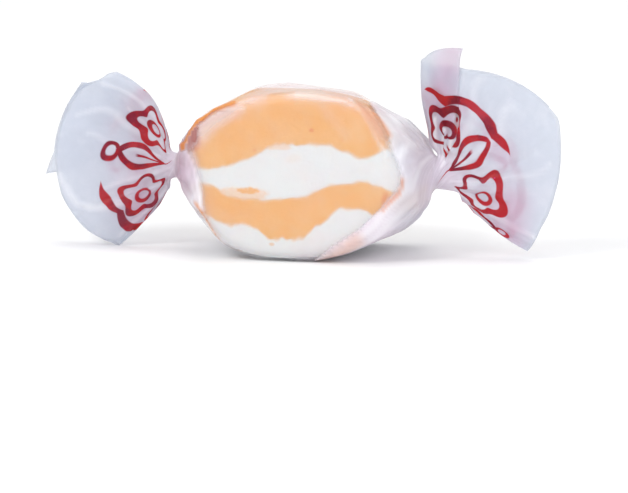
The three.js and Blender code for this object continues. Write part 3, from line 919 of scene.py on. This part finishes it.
def mixed_colour(tree, part, low, high):
    """A colour between low and high; each is a colour or a socket."""
    node = tree.nodes.new("ShaderNodeMix")
    node.data_type = "RGBA"
    tree.links.new(part.socket, node.inputs["Factor"])
    for value, name in ((low, "A"), (high, "B")):
        socket = [s for s in node.inputs if s.name == name and s.type == "RGBA"][0]
        if isinstance(value, bpy.types.NodeSocket):
            tree.links.new(value, socket)
        else:
            socket.default_value = (*value, 1)
    return [s for s in node.outputs if s.type == "RGBA"][0]


def add_bump(tree, height, distance, shader):
    node = tree.nodes.new("ShaderNodeBump")
    node.inputs["Distance"].default_value = distance
    tree.links.new(height.socket, node.inputs["Height"])
    tree.links.new(node.outputs["Normal"], shader.inputs["Normal"])


def new_material(name):
    material = bpy.data.materials.new(name)
    material.use_nodes = True
    tree = material.node_tree
    tree.nodes.clear()
    output = tree.nodes.new("ShaderNodeOutputMaterial")
    return material, tree, output


def position(tree):
    """X, Y and Z in millimetres about the twist axis."""
    place = tree.nodes.new("ShaderNodeTexCoord")
    split = tree.nodes.new("ShaderNodeSeparateXYZ")
    tree.links.new(place.outputs["Object"], split.inputs[0])
    x, y, z = (Number(tree, socket) / MM for socket in split.outputs)
    return x, y, z - REST_DEPTH


ORANGE = (0.735, 0.365, 0.107)
PALE_ORANGE = (0.745, 0.45, 0.22)
DEEP_ORANGE = (0.66, 0.18, 0.045)
WHITE = (0.685, 0.69, 0.69)
PINK_WHITE = (0.70, 0.63, 0.62)
PEACH = (0.76, 0.50, 0.33)
SEAM_BLEND = 0.4
# Spots of colour on the front face: X, height, half width, half height, how strong.
STREAKS = [(-6.1, -1.6, 1.25, 0.4, 0.9), (-3.0, -8.3, 0.35, 0.22, 0.5)]
SMEARS = [(-6.8, -2.1, 3.4, 0.95, 0.75), (-2.2, 4.05, 1.7, 0.4, 0.55), (-0.2, 2.6, 1.0, 0.6, 0.12)]
# Deep orange dots on the orange taffy. The last two are painted shade: the taffy's side in shadow under the
# paper's flap on the right and under its folds on the left.
DOTS_AND_SHADE_SPOTS = [
    (2.1, 6.3, 0.3, 0.26, 0.6), (-5.2, 3.6, 0.22, 0.18, 0.35), (6.0, 5.2, 0.2, 0.2, 0.25),
    (11.6, -2.9, 0.6, 1.6, 0.55), (-13.0, 4.4, 0.9, 1.3, 0.7),
]
SPOTS_BEFORE = -7


def spots(tree, places, ragged):
    """1 on the spots of a list, on the front face."""
    x, y, z = position(tree)
    total = None
    for place_x, place_z, half_x, half_z, strength in places:
        across = (x - place_x) / half_x
        above = (z - place_z) / half_z
        spot = (across * across + above * above + ragged).step(1.6, 0.3) * strength
        total = spot if total is None else total.at_least(spot)
    return total * y.step(SPOTS_BEFORE + 2, SPOTS_BEFORE)


def taffy_material(name, colour, second_colour, streaked):
    material, tree, output = new_material(name)
    shader = tree.nodes.new("ShaderNodeBsdfPrincipled")
    mottle = noise(tree, 260, 5, 0.62).step(0.38, 0.72)
    shade = mixed_colour(tree, mottle * 0.4, colour, second_colour)
    ragged = noise(tree, 900, 4, 0.65) - 0.5
    from_seam = attribute(tree, "from_seam") + ragged * 0.6
    shade = mixed_colour(tree, from_seam.step(SEAM_BLEND, -0.1) * 0.8, shade, PEACH)
    if streaked:
        shade = mixed_colour(tree, spots(tree, SMEARS, ragged * 2.5), shade, PEACH)
        shade = mixed_colour(tree, spots(tree, STREAKS, ragged * 4), shade, ORANGE)
    else:
        # Deep orange dots of the taffy, two of them painted shade under the paper's flap and folds.
        shade = mixed_colour(tree, spots(tree, DOTS_AND_SHADE_SPOTS, ragged), shade, DEEP_ORANGE)
    tree.links.new(shade, shader.inputs["Base Color"])
    shader.inputs["Roughness"].default_value = 0.45
    shader.inputs["Subsurface Weight"].default_value = 0.25
    shader.inputs["Subsurface Radius"].default_value = (1.0, 0.5, 0.3)
    shader.inputs["Subsurface Scale"].default_value = 1.2 * MM
    pores = noise(tree, 1900, 2) * 0.5 + noise(tree, 600, 3)
    add_bump(tree, pores, 0.05 * MM, shader)
    tree.links.new(shader.outputs[0], output.inputs["Surface"])
    return material


PAPER_TINT = (0.75, 0.785, 0.86)
PINK_PAPER_TINT = (0.75, 0.64, 0.75)
# The paper over the body is lighter than the same paper on the tails: painted light that makes up for the
# light it loses over the taffy.
LIFTED_BODY_TINT = (0.93, 0.95, 1.0)
LIFTED_PINK_BODY_TINT = (0.95, 0.87, 0.96)
# Painted light: a brighter, pinker paper at the necks that lifts the shade inside the twists.
LIFTED_NECK_TINT = (0.92, 0.87, 0.94)
# The painted highlight of the creases, also used for the paper's cloudy whitening.
CREASE_HIGHLIGHT_AND_CLOUD_TINT = (0.97, 0.97, 0.99)
ORANGE_TINGE = (0.83, 0.33, 0.08)
SALMON_TINGE = (0.80, 0.42, 0.30)
# Painted shade: the orange taffy in shadow under the folded paper.
SHADED_MAUVE_TINGE = (0.50, 0.22, 0.21)
ROSE_TINGE = (0.74, 0.55, 0.68)
TINGE_OPACITY = 0.45
INK = (0.55, 0.012, 0.012)
DARK_INK = (0.2, 0.003, 0.02)
# The ink as it shows through the sheet from inside.
THROUGH_INK = (0.74, 0.05, 0.26)
CLEAR_OPACITY = 0.04
MILKY_OPACITY = 0.4
CREASE_HIGHLIGHT_OPACITY = 0.3
GLOW_OF_TAIL = 0.45
GLOW_OF_BODY = 0.12


def printed(tree):
    """1 where the paper carries ink: rosettes, leaves and rings, with pieces of a scalloped line."""
    turn = attribute(tree, "sheet_turn")
    beyond = attribute(tree, "beyond_neck")
    warp = (noise(tree, 170, 2) - 0.5) * 2.2
    swell = (noise(tree, 330, 1) - 0.5) * 0.8
    across = turn * PRINT_WIDTH + warp
    up = beyond + warp * 0.7
    cell = across / PRINT_PITCH
    x = (cell.fraction() - 0.5) * PRINT_PITCH
    y = up - 4.9
    radius = (x * x + y * y).math("SQRT")
    heading = y.math("ARCTAN2", x)
    petals = (heading * 5 + 0.6).cosine() * 0.5 + 2.7
    brush = (heading - 0.8).cosine() * 0.18 + 0.44 + swell * 0.4
    rosette = (radius - petals).drawn(brush)
    heart = (radius - 0.95).drawn(brush * 0.6)
    leaf_x = ((cell + 0.5).fraction() - 0.5) * PRINT_PITCH
    leaf_y = (up - 4.6) / 3.1
    leaf_half = (leaf_y * leaf_y * -1 + 1) * 1.5
    leaf = (abs(leaf_x) - leaf_half).drawn(swell * 0.5 + 0.4) * abs(leaf_y).step(1.06, 1.0)
    vein = (leaf_x + swell).drawn(0.22) * (leaf_y + 0.2).step(0.5, 0.3)
    scallop = up - 8.6 - abs((cell * TURN).sine()) * 1.0
    kept = (turn * (2 * TURN) - 0.6).sine().step(-0.1, 0.5)
    band = scallop.drawn((swell * 0.7 + 0.75) * kept - 0.15)
    ring_y = up - 8.6
    ring = ((leaf_x * leaf_x + ring_y * ring_y).math("SQRT") - 0.8).drawn(0.26)
    ring = ring * (kept * -1 + 1)
    leaf = leaf.at_least(vein)
    ink = rosette.at_least(heart).at_least(leaf).at_least(band).at_least(ring)
    return ink * beyond.step(0.2, 0.8)


def paper_material():
    material, tree, output = new_material("waxed_paper")
    ink = printed(tree)
    milky = attribute(tree, "milky")
    cloud = noise(tree, 380, 4, 0.6)
    # A painted highlight along the creases: the paper there is whiter and more opaque.
    crease_highlight = attribute(tree, "crease_highlight").at_most(1)
    haze = (milky + (cloud - 0.5) * 0.25).at_least(0) * MILKY_OPACITY
    opacity = haze + CLEAR_OPACITY + crease_highlight * CREASE_HIGHLIGHT_OPACITY
    tinge = attribute(tree, "tinge") * (cloud + 0.5)
    opacity = opacity.at_least((tinge * TINGE_OPACITY).at_most(0.75))
    opacity = opacity.at_least(ink * (cloud * 0.4 + 0.65)).at_most(0.95)
    beyond = attribute(tree, "beyond_neck")
    on_body = beyond.step(-1.5, -5.0)
    # Lighter paper on the body, painted light for the light it loses over the taffy, with random pink
    # patches.
    body = mixed_colour(tree, noise(tree, 110, 2).step(0.4, 0.65), LIFTED_BODY_TINT, LIFTED_PINK_BODY_TINT)
    near_print = beyond.step(2, 5) * beyond.step(11, 8)
    pink = noise(tree, 120, 2).step(0.42, 0.62) * near_print * 0.8
    tail = mixed_colour(tree, pink, PAPER_TINT, PINK_PAPER_TINT)
    tint = mixed_colour(tree, on_body, tail, body)
    # Painted light at the necks: brighter, pinker paper that lifts the shade of the twists.
    tint = mixed_colour(tree, abs(beyond).step(5.0, 0.5), tint, LIFTED_NECK_TINT)
    hue = attribute(tree, "hue")
    tinge_tint = mixed_colour(tree, hue.at_most(1), ORANGE_TINGE, SALMON_TINGE)
    # Mauve is painted shade: the orange taffy in shadow under the folds.
    tinge_tint = mixed_colour(tree, (hue - 1).at_least(0).at_most(1), tinge_tint, SHADED_MAUVE_TINGE)
    tinge_tint = mixed_colour(tree, (hue - 2).at_least(0), tinge_tint, ROSE_TINGE)
    # Painted highlights on the creases, with the paper's cloudy whitening.
    tint = mixed_colour(tree, crease_highlight * 0.7 + cloud.step(0.45, 0.75) * 0.2, tint, CREASE_HIGHLIGHT_AND_CLOUD_TINT)
    tint = mixed_colour(tree, tinge.at_most(1), tint, tinge_tint)
    blot = mixed_colour(tree, noise(tree, 300, 4, 0.6).step(0.45, 0.62) * 0.8, INK, DARK_INK)
    blot = mixed_colour(tree, attribute(tree, "inside"), blot, THROUGH_INK)
    colour = mixed_colour(tree, ink, tint, blot)
    shine = tree.nodes.new("ShaderNodeBsdfPrincipled")
    tree.links.new(colour, shine.inputs["Base Color"])
    shine.inputs["Roughness"].default_value = 0.4
    add_bump(tree, noise(tree, 900, 3) + noise(tree, 3000, 2) * 0.3, 0.012 * MM, shine)
    glow = tree.nodes.new("ShaderNodeBsdfTranslucent")
    tree.links.new(colour, glow.inputs["Color"])
    sheet = tree.nodes.new("ShaderNodeMixShader")
    share = on_body * (GLOW_OF_BODY - GLOW_OF_TAIL) + GLOW_OF_TAIL
    tree.links.new(share.socket, sheet.inputs["Fac"])
    tree.links.new(shine.outputs[0], sheet.inputs[1])
    tree.links.new(glow.outputs[0], sheet.inputs[2])
    clear = tree.nodes.new("ShaderNodeBsdfTransparent")
    whole = tree.nodes.new("ShaderNodeMixShader")
    tree.links.new(opacity.socket, whole.inputs["Fac"])
    tree.links.new(clear.outputs[0], whole.inputs[1])
    tree.links.new(sheet.outputs[0], whole.inputs[2])
    tree.links.new(whole.outputs[0], output.inputs["Surface"])
    return material


# The stage


def floor_material():
    material, tree, output = new_material("pale_floor")
    shader = tree.nodes.new("ShaderNodeBsdfPrincipled")
    grain = noise(tree, 40, 2)
    shade = mixed_colour(tree, grain, (0.93, 0.93, 0.935), (0.95, 0.95, 0.95))
    tree.links.new(shade, shader.inputs["Base Color"])
    shader.inputs["Roughness"].default_value = 0.9
    tree.links.new(shader.outputs[0], output.inputs["Surface"])
    return material


def make_floor():
    half = 3.0
    mesh = bpy.data.meshes.new("floor")
    corners = [(-half, -half, 0), (half, -half, 0), (half, half, 0), (-half, half, 0)]
    mesh.from_pydata(corners, [], [(0, 1, 2, 3)])
    floor = bpy.data.objects.new("floor", mesh)
    bpy.context.scene.collection.objects.link(floor)
    floor.data.materials.append(floor_material())


def add_area_light(name, place, size, power, target=(0, 0, 0.01)):
    lamp = bpy.data.lights.new(name, "AREA")
    lamp.shape = "DISK"
    lamp.size = size
    lamp.energy = power
    light = bpy.data.objects.new(name, lamp)
    light.location = place
    light.rotation_euler = (Vector(target) - Vector(place)).to_track_quat("-Z", "Y").to_euler()
    bpy.context.scene.collection.objects.link(light)


def add_world():
    world = bpy.data.worlds.new("studio")
    world.use_nodes = True
    background = world.node_tree.nodes["Background"]
    background.inputs["Color"].default_value = (0.98, 0.99, 1.0, 1)
    background.inputs["Strength"].default_value = 0.62
    bpy.context.scene.world = world


def add_camera():
    azimuth, elevation = math.radians(CAMERA_AZIMUTH), math.radians(CAMERA_ELEVATION)
    right = Vector((math.cos(azimuth), math.sin(azimuth), 0))
    forward = Vector((
        -math.sin(azimuth) * math.cos(elevation),
        math.cos(azimuth) * math.cos(elevation),
        -math.sin(elevation),
    ))
    up = right.cross(forward)
    target = Vector((0, 0, REST_DEPTH * MM)) + (right * VIEW_RIGHT - up * VIEW_DOWN) * MM
    data = bpy.data.cameras.new("camera")
    data.sensor_width = SENSOR_WIDTH
    data.lens = SENSOR_WIDTH * CAMERA_DISTANCE / (VIEW_WIDTH * MM)
    data.clip_start = 0.05
    data.clip_end = 20
    camera = bpy.data.objects.new("camera", data)
    camera.location = target - forward * CAMERA_DISTANCE
    camera.rotation_euler = forward.to_track_quat("-Z", "Y").to_euler()
    bpy.context.scene.collection.objects.link(camera)
    bpy.context.scene.camera = camera


def place_piece(piece, material, node):
    piece.data.materials.append(material)
    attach(piece, "root")
    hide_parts(node)


def main():
    add_camera()
    add_world()
    add_area_light("key", (-0.35, -0.55, 0.6), 0.35, 2.7)
    add_area_light("fill", (0.5, -0.4, 0.35), 0.5, 1.6)
    add_area_light("top", (0.05, 0.15, 0.8), 0.6, 2.2)
    make_floor()

    orange = taffy_material("orange_taffy", ORANGE, PALE_ORANGE, streaked=False)
    white = taffy_material("white_taffy", WHITE, PINK_WHITE, streaked=True)
    top = seam(SEAM_TOP, "top")
    middle = seam(SEAM_MIDDLE, "middle")
    bottom = seam(SEAM_BOTTOM, "bottom")
    layers = [
        ("orange_top", shifted(top, SEAM_GAP), plain_top, orange, "orange_taffy"),
        ("white_middle", shifted(middle, SEAM_GAP), shifted(top, -SEAM_GAP), white, "white_taffy"),
        ("orange_lower", shifted(bottom, SEAM_GAP), shifted(middle, -SEAM_GAP), orange, "orange_taffy"),
        ("white_bottom", plain_floor, shifted(bottom, -SEAM_GAP), white, "white_taffy"),
    ]
    for name, lower, upper, material, slot in layers:
        layer = make_layer("candy_" + name, lower, upper)
        place_piece(layer, material, "taffy_" + name)

    paper = paper_material()
    place_piece(make_wrapper(), paper, "wrapper")
    place_piece(make_gather("paper_gather_left", LEFT_END), paper, "wrapper")
    place_piece(make_gather("paper_gather_right", RIGHT_END), paper, "wrapper")

    scene = bpy.context.scene
    scene.view_settings.view_transform = "Standard"
    scene.cycles.transparent_max_bounces = 32
    scene.cycles.transmission_bounces = 12


main()
